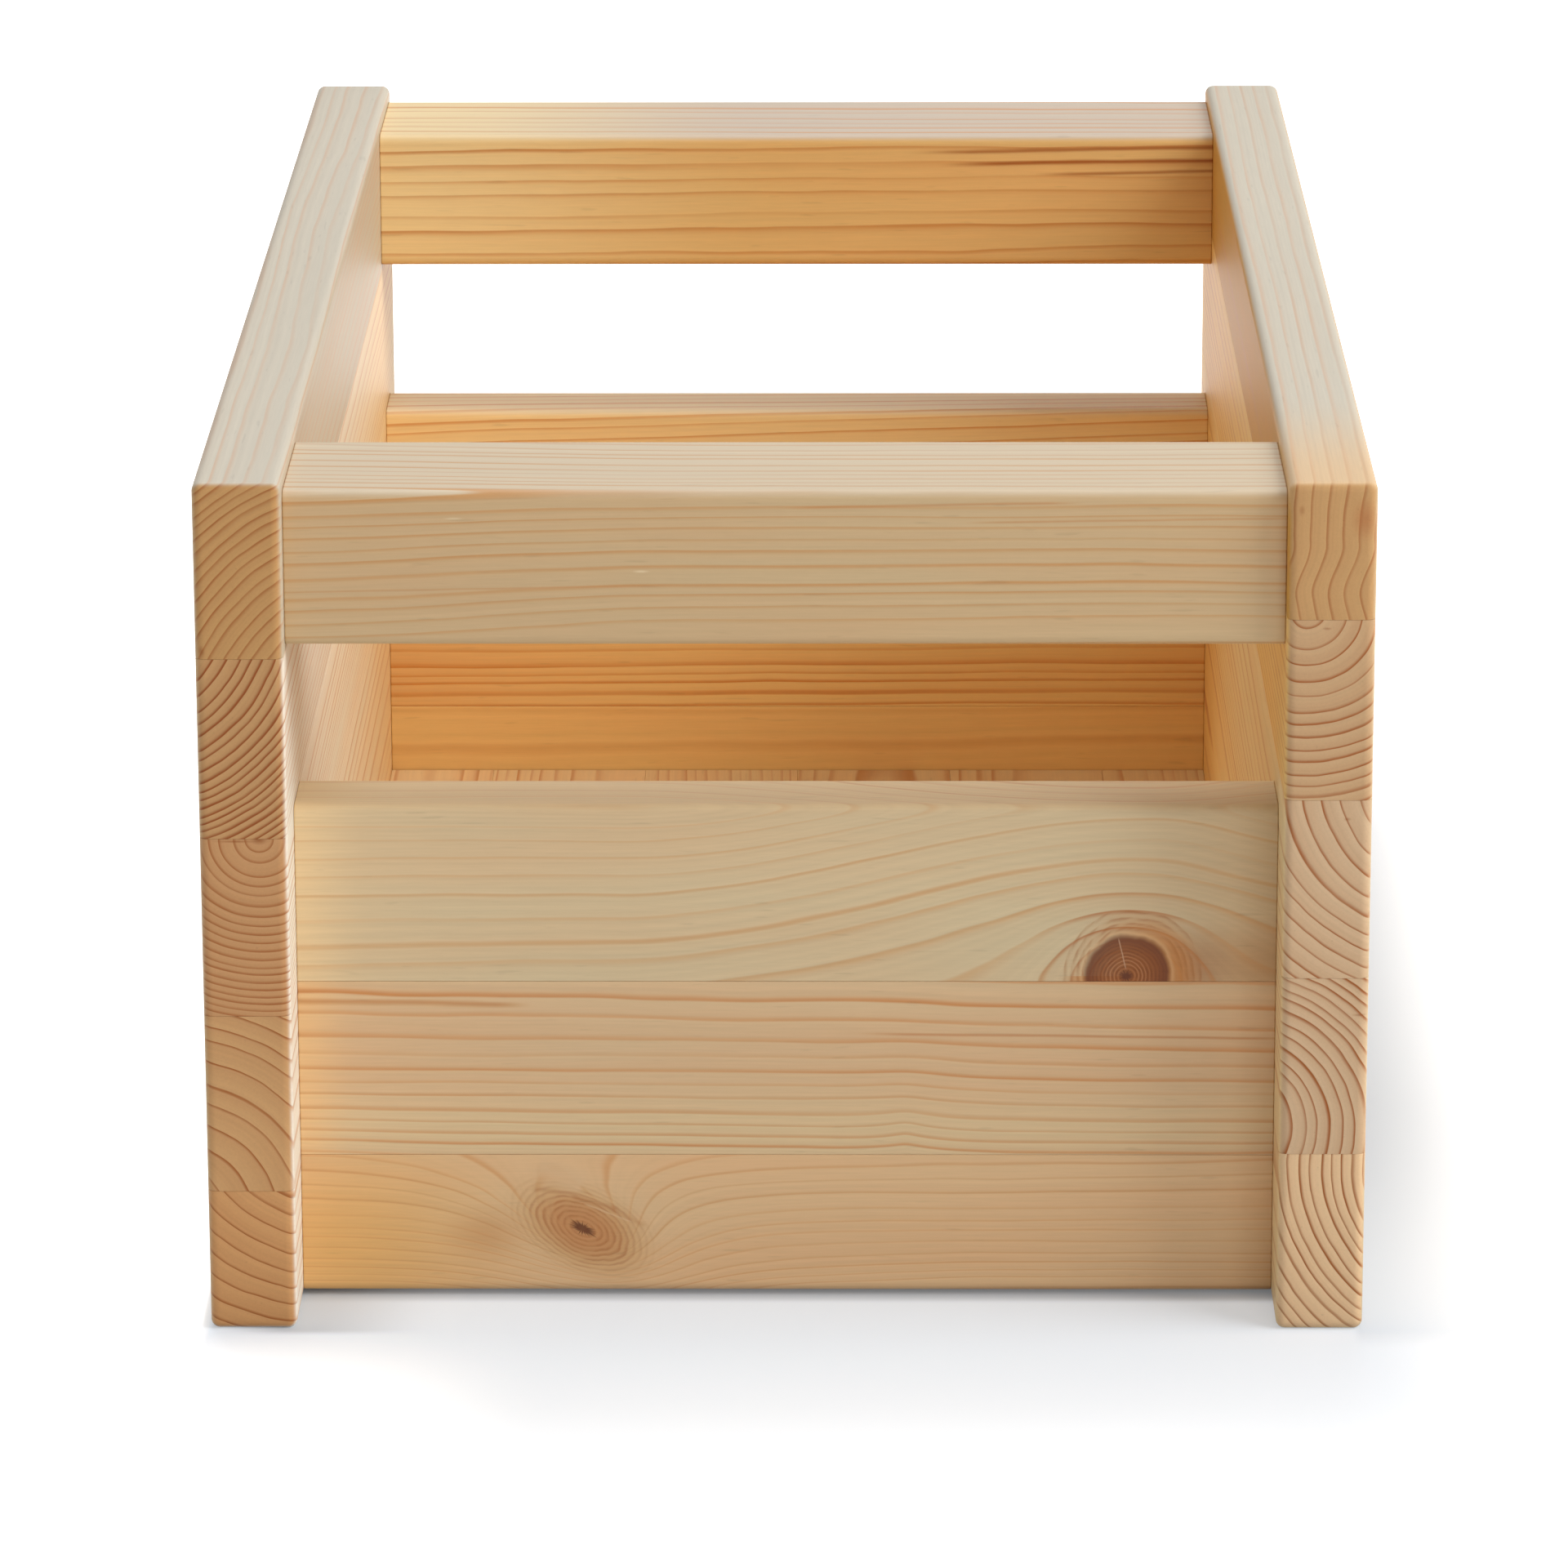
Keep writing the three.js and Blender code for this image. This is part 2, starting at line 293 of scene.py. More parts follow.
# %% The staves of the left side
PIT = (146, 78, 30)
# Painted sheen: top faces are painted paler and greyer than the wood, for the bright surround they
# reflect.
SIDE_TOP_SHEEN = (207, 198, 180)
# Partly painted light: the left boards' inner faces are painted paler and brighter than their pine,
# for the light that falls on them inside the box.
LEFT_HIGH = (237, 225, 204)
LEFT_LOW = (248, 236, 212)
# Painted light: the left boards' inner faces are lightened towards both ends, warm by the back end
# and near white by the front end, for light inside the box.
LEFT_PAINTED_LIGHT = [
    Patch((200, 80), (170, 900), (240, 205, 143), 0.9),
    Patch((-200, 80), (140, 900), (255, 250, 236), 0.95),
]
LOGS = {
    "left_side_stave_5": Log(
        (31, 128.7), (2.9, 1.7), uneven=0.3, contrast=0.45, face=(203, 191, 170), top=SIDE_TOP_SHEEN,
        outside=(-1, (216, 189, 149)), end_face=(198, 151, 95), end_contrast=0.8,
        spots=[Spot((-7.6, 146.8), (0.7, 1.2), PIT, 0.6)],
    ),
    "left_side_stave_4": Log(
        (-30.7, 159.9), (2.9, 1.35), uneven=0.35, face=LEFT_HIGH, patches=LEFT_PAINTED_LIGHT,
        outside=(-1, (221, 194, 151)), end_face=(199, 153, 102), end_contrast=1.2,
        end_line=(146, 76, 28),
    ),
    "left_side_stave_3": Log(
        (3.3, 107.0), (2.6, 1.4), wander=0.1, ripple=0.2, uneven=0.3, face=LEFT_LOW,
        patches=LEFT_PAINTED_LIGHT, outside=(-1, (215, 185, 144)), end_face=(201, 151, 102),
        end_contrast=0.8,
        spots=[
            Spot((3.3, 106.8), (1.6, 1.0), PIT, 0.8),
            Spot((-1.5, 106.4), (4.0, 0.3), PIT, 0.6),
        ],
    ),
    "left_side_stave_2": Log(
        (-16.8, 24.0), (5.6, 3.4), uneven=0.3, face=LEFT_LOW, patches=LEFT_PAINTED_LIGHT,
        outside=(-1, (220, 192, 147)), end_face=(208, 161, 109),
    ),
    "left_side_stave_1": Log(
        (16.6, 47.5), (4.6, 3.2), uneven=0.3, face=LEFT_LOW, patches=LEFT_PAINTED_LIGHT,
        outside=(-1, (217, 189, 148)), end_face=(212, 158, 103),
    ),
}

# %% The staves of the right side
RIGHT_END = (215, 182, 144)
# Partly painted shade: the top right stave's inner face is painted darker orange, where little
# light reaches it.
RIGHT_HIGH = (214, 160, 74)
# Partly painted light: the lower right inner faces are painted near the brightest pale pine, for
# light inside the box.
RIGHT_LOW = (254, 226, 176)
# Painted light: the right boards' inner faces are lit warm towards the back end, for light bounced
# inside the box.
RIGHT_PAINTED_LIGHT = [Patch((200, 80), (170, 900), (255, 210, 128), 0.9)]
KNOTTY = (176, 106, 57)
LOGS.update({
    "right_side_stave_5": Log(
        (74, 170), (3.3, 3.3), sway=(158.0, 169.5, 4.2), uneven=0.2, contrast=0.5,
        top=SIDE_TOP_SHEEN, outside=(1, (215, 186, 144)),
        patches=[Patch((-200, 181), (56, 6), (228, 188, 136), 0.8)],
        face=RIGHT_HIGH, end_face=(202, 157, 104), end_contrast=0.75,
        spots=[
            Spot((6.4, 174.5), (2.6, 4.2), KNOTTY, 0.6),
            Spot((-6.4, 176.4), (0.6, 1.0), PIT, 0.4),
        ],
    ),
    "right_side_stave_4": Log(
        # Partly painted light: a face near the brightest warm pine, for light inside the box.
        (-4.8, 155.2), (3.9, 2.3), wander=0.25, uneven=0.3, face=(254, 212, 138),
        patches=RIGHT_PAINTED_LIGHT, outside=(1, (221, 193, 151)),
        end_face=(206, 168, 125),
        spots=[Spot((-0.9, 151.6), (0.9, 0.3), PIT, 0.5)],
    ),
    "right_side_stave_3": Log(
        (26.8, 122.0), (4.0, 2.9), uneven=0.25, face=RIGHT_LOW, patches=RIGHT_PAINTED_LIGHT,
        outside=(1, (216, 188, 146)), end_face=RIGHT_END,
        spots=[Spot((3.9, 111.2), (0.7, 0.4), PIT, 0.5)],
    ),
    "right_side_stave_2": Log(
        (-18.5, 44.6), (2.9, 1.9), uneven=0.35, face=RIGHT_LOW, patches=RIGHT_PAINTED_LIGHT,
        outside=(1, (222, 195, 152)), end_face=RIGHT_END,
        spots=[Spot((7.2, 69.1), (1.6, 0.3), PIT, 0.5)],
    ),
    "right_side_stave_1": Log(
        (29.8, 35.2), (2.0, 2.9), uneven=0.35, face=RIGHT_LOW, patches=RIGHT_PAINTED_LIGHT,
        outside=(1, (217, 190, 148)), end_face=(237, 200, 155),
    ),
})

# %% The front rail and the front panel
# Painted sheen: the rail's top face is painted paler and greyer, for the bright surround it
# reflects.
RAIL_TOP_SHEEN = (214, 196, 168)
AMBER = (195, 132, 74)
BROWN = (180, 113, 62)
LOGS.update({
    "front_rail": Log(
        (44, 100), (2.6, 1.8), bends=[(-112, -20, 2.2)], contrast=0.85, late=0.6, uneven=0.9,
        face=(208, 177, 136), line=(200, 144, 85), top=RAIL_TOP_SHEEN,
        streaks=[
            Streak((-2, 175.6), (62, 176.6), 0.5, AMBER, 0.55),
            Streak((34, 172.4), (108, 173.4), 0.4, AMBER, 0.5),
            Streak((-112, 157.6), (-20, 159.4), 0.35, AMBER, 0.4),
        ],
        patches=[
            Patch((-29.2, 162.2), (1.6, 0.3), (232, 210, 170), 0.8),
            Patch((-67.2, 173.3), (1.9, 0.25), (232, 210, 170), 0.7),
        ],
    ),
    "front_panel_stave_3": Log(
        (33, 50), (2.9, 2.7), bends=[(-35, 72, 15), (76, 112, -6)], contrast=0.5, late=0.7,
        face=(219, 195, 157), line=(206, 144, 80), top=(235, 212, 170),
        knots=[Knot(
            70.8, 71.0, 8.9, bulge=16, reach=(9, 7.5), gap=0.8, wood=(154, 88, 38),
            edge=(120, 58, 20), line=(104, 46, 12), soft=0.08,
        )],
        patches=[
            Patch((98, 74), (16, 9), (188, 120, 54), 0.8),
            Patch((86.5, 73.5), (7, 8), (156, 86, 34), 0.7),
            # Painted light: the left end glows pale, lit by light off the left board's inner face.
            Patch((-103, 92), (12, 60), (236, 208, 161), 0.9),
            # Painted shade: the right end is darker where the right board shades it.
            Patch((100, 92), (34, 60), (206, 179, 138), 0.6),
        ],
        streaks=[Streak((70.8, 72.2), (69.0, 79.6), 0.22, (202, 159, 125), 0.8)],
    ),
    "front_panel_stave_2": Log(
        (30, 82), (2.7, 1.7), lean=(0, -0.008), contrast=0.85, face=(223, 188, 147),
        knots=[Knot(25, 36, 0, bulge=-0.9, reach=(5, 12))],
        patches=[
            Patch((0, 37), (900, 9), (227, 202, 157), 0.7),
            # Painted light: the left end glows, lit by light off the left board's inner face.
            Patch((-103, 52), (10, 60), (240, 198, 142), 0.9),
        ],
        streaks=[
            Streak((-110, 65.6), (-52, 64.6), 1.0, AMBER, 0.7),
            Streak((12, 58.4), (110, 57.2), 0.5, (193, 121, 66), 0.6),
        ],
    ),
    "front_panel_stave_1": Log(
        (24, 46), (2.1, 1.5), contrast=0.56, late=0.72, face=(230, 191, 146),
        knots=[Knot(
            -43.0, 15.2, 8.2, stretch=1.7, turn=-28, bulge=17, reach=(13, 8), dark=0.9, soft=0.4,
            collar=0.0, wood=(200, 140, 87), edge=(215, 172, 119), line=(176, 106, 57),
            gap=0.9, heart=(3.0, 1.1),
        )],
        patches=[
            # Painted light: the left end glows golden, lit by light off the left board's inner
            # face.
            Patch((-94, 10), (34, 26), (234, 180, 104), 0.8),
            Patch((-63, 14), (9, 6), AMBER, 0.4),
        ],
        streaks=[
            Streak((-53, 29.2), (-42, 24.8), 4.0, (226, 188, 143), 0.9),
            Streak((-54, 24.4), (-43, 22.6), 1.0, BROWN, 0.28),
            Streak((-46, 22.6), (-35, 19.0), 1.1, BROWN, 0.38),
            Streak((-37.5, 20.0), (-29.5, 15.6), 1.0, BROWN, 0.3),
            Streak((-43, 20.8), (-32, 16.4), 0.3, (225, 189, 147), 0.6),
        ],
    ),
})

# %% The back rail and the back panel
# Partly painted light: the back panel's faces are painted near the brightest warm pine, for light
# bounced inside the box.
WARM_FACE = (252, 208, 138)
WARM_LINE = (220, 144, 70)
RESIN = (164, 84, 22)
LOGS.update({
    "back_rail": Log(
        (38, 110), (2.0, 3.2), lean=(0, 0.008), contrast=0.9, ripple=0.7,
        face=(236, 190, 122), line=(208, 136, 66), top=(207, 191, 172),
        # Painted light: the left end is lighter, where the right board does not shade the rail.
        patches=[Patch((-100, 166), (70, 34), (254, 226, 166), 0.9)],
        streaks=[
            Streak((26, 174.9), (150, 176.8), 0.9, RESIN, 0.75),
            Streak((34, 171.7), (150, 173.7), 0.9, RESIN, 0.9),
            Streak((56, 169.2), (150, 171.2), 0.7, RESIN, 0.7),
        ],
    ),
    "back_panel_stave_3": Log(
        # Partly painted light: this face too is near the brightest warm pine.
        (-34, 62), (2.9, 2.3), lean=(0, 0.03), contrast=0.75, face=(254, 218, 158),
        line=WARM_LINE, top=(250, 234, 200),
    ),
    "back_panel_stave_2": Log(
        (-22, 92), (3.6, 2.6), contrast=1.0, late=0.5, ripple=0.8, face=WARM_FACE, line=WARM_LINE,
        patches=[Patch((-102, 50), (60, 60), (242, 192, 124), 0.9)],
    ),
    "back_panel_stave_1": Log(
        (-44, 10), (4.0, 3.0), lean=(0, 0.004), contrast=0.3, face=WARM_FACE, line=WARM_LINE,
    ),
})

# %% The staves of the floor, cut from whatever was at hand
FLOOR_STAVES = 6
draw = random.Random(11)
for number in range(1, FLOOR_STAVES + 1):
    LOGS[f"floor_stave_{number}"] = Log(
        (draw.uniform(-60, 60), draw.choice((-1, 1)) * draw.uniform(15, 40)),
        (draw.uniform(2.0, 3.4), draw.uniform(1.6, 2.6)),
        lean=(draw.uniform(-0.02, 0.02), 0.0),
        contrast=draw.uniform(0.7, 1.0),
        face=(250, 222, 176),
    )
print("staves and rails:", len(LOGS))

# %% [markdown]
# ## From a log to a growth ring
#
# The distance to the pith, in millimetres, is the whole pattern. It is disturbed on purpose: by
# slow noise that is stretched along the grain, because a ring that bulges here still bulges a
# hand's width further on, and by a hill around every knot, because the tree laid its rings
# over the branch. Rings get thinner as a tree ages, so the count of rings is a straight line in
# the distance plus a small square term.

# %% Helpers for colour and ring spacing
def colour(red, green, blue):
    """An sRGB colour, given in 0..255, as the linear colour that a socket takes."""
    def linear(value):
        value /= 255
        return value / 12.92 if value <= 0.04045 else ((value + 0.055) / 1.055) ** 2.4
    return (linear(red), linear(green), linear(blue), 1.0)


def ring_count_terms(log, low, high):
    """The two terms of the ring count, from the spacing at the nearest and farthest corner."""
    reaches = [
        math.hypot(u - log.pith[0], v - log.pith[1])
        for u in (low[0], high[0])
        for v in (low[1], high[1])
    ]
    inside = low[0] < log.pith[0] < high[0] and low[1] < log.pith[1] < high[1]
    near = 0.0 if inside else min(reaches)
    far = max(reaches)
    steepness = (1 / log.gaps[1] - 1 / log.gaps[0]) / (far - near)
    start = 1 / log.gaps[0] - steepness * near
    return start, steepness / 2


# %% The place of a point within its stave
STAVES_APART = 57.0  # between the noise of two staves


class Place:
    """Where a point of a stave lies: along the grain, sideways, and its height, in mm."""

    def __init__(self, graph, grain, middle, seed):
        texture = graph.add("ShaderNodeTexCoord", output="Object")
        in_mm = graph.scale(texture, 1 / MM)
        x, y, z = (graph.part(in_mm, axis) for axis in "XYZ")
        self.along, self.across = (x, y) if grain == "X" else (y, x)
        self.across = self.across - middle
        self.height = z
        self.graph = graph
        self.seed = seed

    def stretched(self, squeeze):
        """The place with the grain direction squeezed, for noise that runs with the grain."""
        across = self.across + self.seed * STAVES_APART
        return self.graph.combine(across, self.along * squeeze, self.height)


# %% [markdown]
# ## Knots
#
# A branch starts at the pith and runs out through the stave, so on the face it is a disc with
# rings of its own, a dark rim of bark and resin, and a star of drying cracks in its heart.
# Around it the rings of the stem part and close again. Both need the same measure: how far a
# point is from the middle of the branch, after the branch's slant and its oval are undone.

# %% Measures around one knot
PUSH_TOP = 0.3  # rounds the top of the hill in the rings
KNOT_ROUGHNESS = 0.45
KNOT_SLOPE = 0.25  # drift of the branch along the grain per mm of depth
KNOT_FACE = -10.0  # the face that its place is given on, in mm from the board's middle


class KnotField:
    """How far each point is from a knot, and how hard the knot pushes the rings there."""

    def __init__(self, graph, place, knot):
        depth = place.across - KNOT_FACE
        along = place.along - knot.along - depth * KNOT_SLOPE
        height = place.height - knot.height
        cosine, sine = math.cos(knot.turn), math.sin(knot.turn)
        self.along = along * cosine + height * sine
        self.height = height * cosine - along * sine
        far = graph.length(self.along / knot.reach[0], self.height / knot.reach[1])
        self.push = graph.math("EXPONENT", PUSH_TOP - graph.length(far, PUSH_TOP))
        if knot.radius:
            rough = graph.noise(place.stretched(1.0), 0.25, 2.0) * KNOT_ROUGHNESS
            self.distance = graph.length(self.along / knot.stretch, self.height) + rough
            self.share = self.distance / knot.radius  # 1 on the rim
            self.in_heart = graph.length(self.along / knot.heart[0], self.height / knot.heart[1])


# %% [markdown]
# ## Pine
#
# The colours are those of sanded pine under a thin clear finish. On a face the early wood is
# pale straw and the late wood a soft orange line; on an end the open pores drink the finish, so
# both turn darker and browner. One attribute, stored on the mesh, says how much a point belongs
# to an end, and the eased edges blend between the two. The rings also drive the roughness and a
# very small bump, because the hard late wood stands a little proud after sanding. Light and shade
# are painted into some colours too: top faces are painted paler for their sheen, some inner faces
# brighter for the light inside the box, and some patches are painted light or painted shade.

# %% The pattern of rings
# In a ring, 0 is where its early wood starts and 1 is where its late wood ends.
DARKEST = 0.90
THIN_LINE = (0.12, 0.85)  # darkest and start of the thin line, in mm before the ring's end
WANDER = 3.6
VEIL = 0.15


def grow_rings(graph, place, log, terms, fields):
    """The late wood of every ring, the same line drawn thinner, and the fine lines between."""
    side = place.across - log.pith[0] - place.along * log.lean[0]
    rise = place.height - log.pith[1] - place.along * log.lean[1]
    for start, end, height in log.bends:
        rise = rise - graph.ramp(place.along, start, end, 0.0, height)
    distance = graph.length(side, rise)
    slow = graph.noise(place.stretched(0.16), 0.022, 1.0) * (log.wander * WANDER)
    ripple = graph.noise(place.stretched(0.22), 0.09, 2.0) * log.ripple
    distance = distance + slow + ripple
    if log.sway:
        low, high, size = log.sway
        distance = distance + graph.ramp(place.height, low, high, -size, 0.0)
    for field, knot in fields:
        distance = distance - field.push * knot.bulge
    uneven = graph.noise_1d(distance + place.seed * 31.0, 0.2, 2.0) * log.uneven
    count = distance * terms[0] + distance * distance * terms[1] + uneven
    ring = graph.math("FLOOR", count)
    within = count - ring
    chance = graph.add("ShaderNodeTexWhiteNoise", {"noise_dimensions": "1D"}, {"W": ring})
    fading = graph.noise(place.stretched(0.10), 0.10, 2.0)
    strength = graph.ramp(0.5 * chance + 0.55 * fading, -0.15, 0.7, 0.25, 1.0, smooth=False)
    darkening = graph.ramp(within, log.late, DARKEST)
    closing = graph.ramp(within, DARKEST, 1.0, 1.0, 0.0)
    veil = graph.ramp(within, 0.0, log.late + 0.1) * VEIL
    from_end = (1.0 - within) / (terms[0] + distance * (2 * terms[1]))
    middle, start = THIN_LINE
    thin = graph.ramp(from_end, start, middle) * graph.ramp(from_end, 0.0, middle)
    thin = (thin + veil * closing * 1.2) * (0.45 + strength * 0.55)
    fine = graph.noise_1d(distance + place.seed * 17.0, 1.5, 2.0)
    return (darkening + veil) * closing * strength, thin, fine


# %% A knot's own colour
# Distances from its middle are shares of its radius, so its rim is at 1.
COLLAR_PALE = (240, 204, 154)
COLLAR_LINE = (168, 98, 46)
COLLAR_WASH = (200, 132, 68)
COLLAR_ARCS = (1.17, 1.29, 1.43, 1.6)
COLLAR_OFF_CENTRE = 0.12
RIM_UNEVEN = 0.14
RAY_PALE = (216, 160, 120)
KNOT_RIM = (104, 50, 26)
KNOT_BESIDE = (176, 102, 52)
KNOT_HEART = (90, 42, 20)
HEART_RAGGED = 0.7


def band(graph, value, low, middle, high):
    """A soft bump: 0 at low and high, 1 in the middle."""
    return graph.ramp(value, low, middle) * graph.ramp(value, middle, high, 1.0, 0.0)


def paint_knot(graph, base, field, knot):
    """The stem's colour with the knot laid over it."""
    around = graph.math("ARCTAN2", field.height, field.along)
    uneven = graph.noise_1d(around * 0.6 + 4.0, 0.8, 2.0) * (RIM_UNEVEN * knot.collar)
    share = field.share + uneven
    outer = share - graph.math("COSINE", around) * COLLAR_OFF_CENTRE
    wash = graph.ramp(outer, 1.1, 1.8, 1.0, 0.0) * graph.ramp(around, 0.4, 2.6, 1.0, 0.25)
    painted = graph.mix(wash * (0.85 * knot.collar), base, colour(*COLLAR_WASH))
    pale = band(graph, share, 1.0, 1.07, 1.16)
    painted = graph.mix(pale * (0.25 * knot.collar), painted, colour(*COLLAR_PALE))
    broken = graph.ramp(graph.noise_1d(around * 2.0 + outer * 3.0, 1.0, 2.0), -0.3, 0.3, 0.15, 1.0)
    for middle in COLLAR_ARCS:
        arc = band(graph, outer, middle - 0.09, middle, middle + 0.04) * broken
        painted = graph.mix(arc * (0.5 * knot.collar), painted, colour(*COLLAR_LINE))
    count = field.distance / knot.gap
    within = count - graph.math("FLOOR", count)
    edge = graph.ramp(field.share, 0.3, 1.0)
    wood = graph.mix(edge, colour(*knot.wood), colour(*knot.edge))
    rings = band(graph, within, 0.2, 0.7, 1.0) * (broken * 0.4 + 0.3)
    wood = graph.mix(rings, wood, colour(*knot.line))
    rays = band(graph, within, 0.0, 0.15, 0.45) * band(graph, field.share, 0.1, 0.35, 0.7)
    wood = graph.mix(rays * (0.35 * knot.collar), wood, colour(*RAY_PALE))
    rim = band(graph, share, 0.7, 0.97, 1.08)
    wood = graph.mix(rim * (0.5 * knot.collar), wood, colour(*KNOT_RIM))
    disc = graph.ramp(share, 1.0 - knot.soft, 1.0 + knot.soft, 1.0, 0.0)
    painted = graph.mix(disc * knot.dark, painted, wood)
    ragged = graph.noise_1d(around * 1.7 + 9.0, 2.2, 2.0)
    heart = graph.ramp(field.in_heart - ragged * HEART_RAGGED, 0.5, 1.2, 1.0, 0.0)
    return graph.mix(heart * 0.85, painted, colour(*KNOT_HEART))


# %% Stains, painted light and shade, streaks and spots on the colour
def soft_oval_mask(graph, along, height, place, reach):
    """A soft oval around a place: 1 in its middle."""
    distance = graph.length((along - place[0]) / reach[0], (height - place[1]) / reach[1])
    return graph.ramp(distance, 0.0, 1.4, 1.0, 0.0)


def streak_mask(graph, place, streak):
    """A soft line: 1 along its middle, fading at both ends."""
    run = streak.end[0] - streak.start[0]
    rise = streak.end[1] - streak.start[1]
    length = math.hypot(run, rise)
    along = place.along - streak.start[0]
    height = place.height - streak.start[1]
    forward = (along * run + height * rise) / (length * length)
    sideways = (height * run - along * rise) / length
    sideways = sideways + graph.noise(place.stretched(0.12), 0.3, 2.0) * (0.5 * streak.width)
    across = graph.ramp(graph.math("ABSOLUTE", sideways), 0.0, streak.width, 1.0, 0.0)
    ends = graph.ramp(forward, 0.0, 0.15) * graph.ramp(forward, 0.85, 1.0, 1.0, 0.0)
    return across * ends


# %% The material of one stave
SPECULAR = 0.22
COAT = 0.12
COAT_ROUGHNESS = 0.42
PINKER = (1.02, 0.97, 0.93)
YELLOWER = (0.98, 1.03, 1.04)
TOP_EDGE = (1.6, 0.2)  # where a top face starts and is all there, in mm below the top
OUTER_EDGE = (6.0, 8.8)  # the same for an outer face, in mm from the board's middle
BESIDE_KNOT = (1.2, 2.6)  # shares of the knot's radius
RELIEF = 0.02 * MM


def tinted(base, tint):
    """An sRGB colour, shifted a little, as a linear colour."""
    return colour(*(min(255, part * share) for part, share in zip(base, tint)))


def pine(name, grain, middle, low, high, seed):
    """Pine that grew as LOGS says. `low` and `high` are the corners of its section, in mm."""
    log = LOGS[name]
    material, graph = new_material(f"pine_{name}")
    place = Place(graph, grain, middle, seed)
    fields = [(KnotField(graph, place, knot), knot) for knot in log.knots]
    terms = ring_count_terms(log, low, high)
    late, thin, fine = grow_rings(graph, place, log, terms, fields)
    end = graph.add("ShaderNodeAttribute", {"attribute_name": "end_grain"}, None, "Fac")

    hue = graph.noise(place.stretched(0.15), 0.06, 2.0)
    face = graph.mix(0.5 + hue * 0.5, tinted(log.face, PINKER), tinted(log.face, YELLOWER))
    # Painted sheen: the top face is painted paler and greyer, for the bright surround it reflects.
    top_sheen = 0.0
    if log.top:
        top_sheen = graph.ramp(place.height, high[1] - TOP_EDGE[0], high[1] - TOP_EDGE[1])
        face = graph.mix(top_sheen, face, colour(*log.top))
    # Stains, and patches of painted light or painted shade.
    for patch in log.patches:
        mask = soft_oval_mask(graph, place.along, place.height, patch.place, patch.reach)
        face = graph.mix(mask * patch.strength, face, colour(*patch.stain))
    if log.outside:
        side, plain = log.outside
        away = graph.ramp(place.across * side, *OUTER_EDGE) * (1.0 - top_sheen)
        face = graph.mix(away, face, colour(*plain))
    contrast, line = log.contrast, colour(*log.line)
    for field, knot in fields:
        if knot.collar and knot.radius:
            beside = graph.ramp(field.share, *BESIDE_KNOT, 1.0, 0.0)
            contrast = contrast + beside * 0.5
            line = graph.mix(beside, line, colour(*KNOT_BESIDE))
    face = graph.mix(graph.math("MINIMUM", late * contrast, 1.0), face, line)
    end_dark = graph.math("MINIMUM", thin * log.end_contrast, 1.0)
    ends = graph.mix(end_dark, colour(*log.end_face), colour(*log.end_line))
    for spot in log.spots:
        mask = soft_oval_mask(graph, place.across, place.height, spot.place, spot.reach)
        ends = graph.mix(mask * spot.strength, ends, colour(*spot.stain))
    wood = graph.mix(graph.ramp(end, 0.25, 0.9), face, ends)
    for field, knot in fields:
        if knot.radius:
            wood = paint_knot(graph, wood, field, knot)
    for streak in log.streaks:
        mask = streak_mask(graph, place, streak)
        wood = graph.mix(mask * streak.strength, wood, colour(*streak.stain))

    cloud = graph.noise(place.stretched(0.12), 0.05, 2.0)
    fibre = graph.noise(place.stretched(0.04), 2.2, 3.0, 0.6)
    canals = graph.ramp(graph.noise(place.stretched(0.1), 1.3, 0.0), 0.5, 0.75)
    brightness = 1.0 + cloud * 0.05 + fibre * 0.065 - fine * 0.06 - canals * 0.08
    wood = graph.scale(wood, brightness)

    rough = 0.5 - late * 0.04 + end * 0.10 + fibre * 0.03
    relief = late * 0.1 + fibre * 0.35
    bump = graph.add(
        "ShaderNodeBump", None, {"Strength": 0.35, "Distance": RELIEF, "Height": relief}
    )
    shader = graph.add(
        "ShaderNodeBsdfPrincipled",
        None,
        {
            "Base Color": wood,
            "Roughness": rough,
            "IOR": 1.5,
            "Specular IOR Level": SPECULAR,
            "Normal": bump,
            "Coat Weight": COAT,
            "Coat Roughness": COAT_ROUGHNESS,
        },
    )
    graph.add("ShaderNodeOutputMaterial", None, {"Surface": shader}, None)
    return material


# %% [markdown]
# ## One tree for every stave
#
# All the boards are the same kind of thing: a stick with a rectangular section whose outer
# edges are rounded and whose glued edges are almost sharp. That is a rule, so one Geometry
# Nodes tree makes them all. It sweeps a closed outline along a line and then moves every
# point by its number: the number says which corner it belongs to and which step of the rounded
# end. A thin extra row beside every rounding keeps the flat faces flat when they are shaded
# smooth.

# %% Sizes of the eased edges
ROUND_STEPS = 6
CORNER_POINTS = ROUND_STEPS + 3
OUTLINE_POINTS = 4 * CORNER_POINTS
END_RINGS = ROUND_STEPS + 3
RINGS = 2 * END_RINGS
QUARTER_TURN = math.pi / 2
SHARPEST = 0.02 * MM
STAVE_SIZES = (
    "Width", "Length", "Height", "Arris", "End Arris", "Seam", "Margin",
    "Low Edge Outer", "High Edge Outer",
)


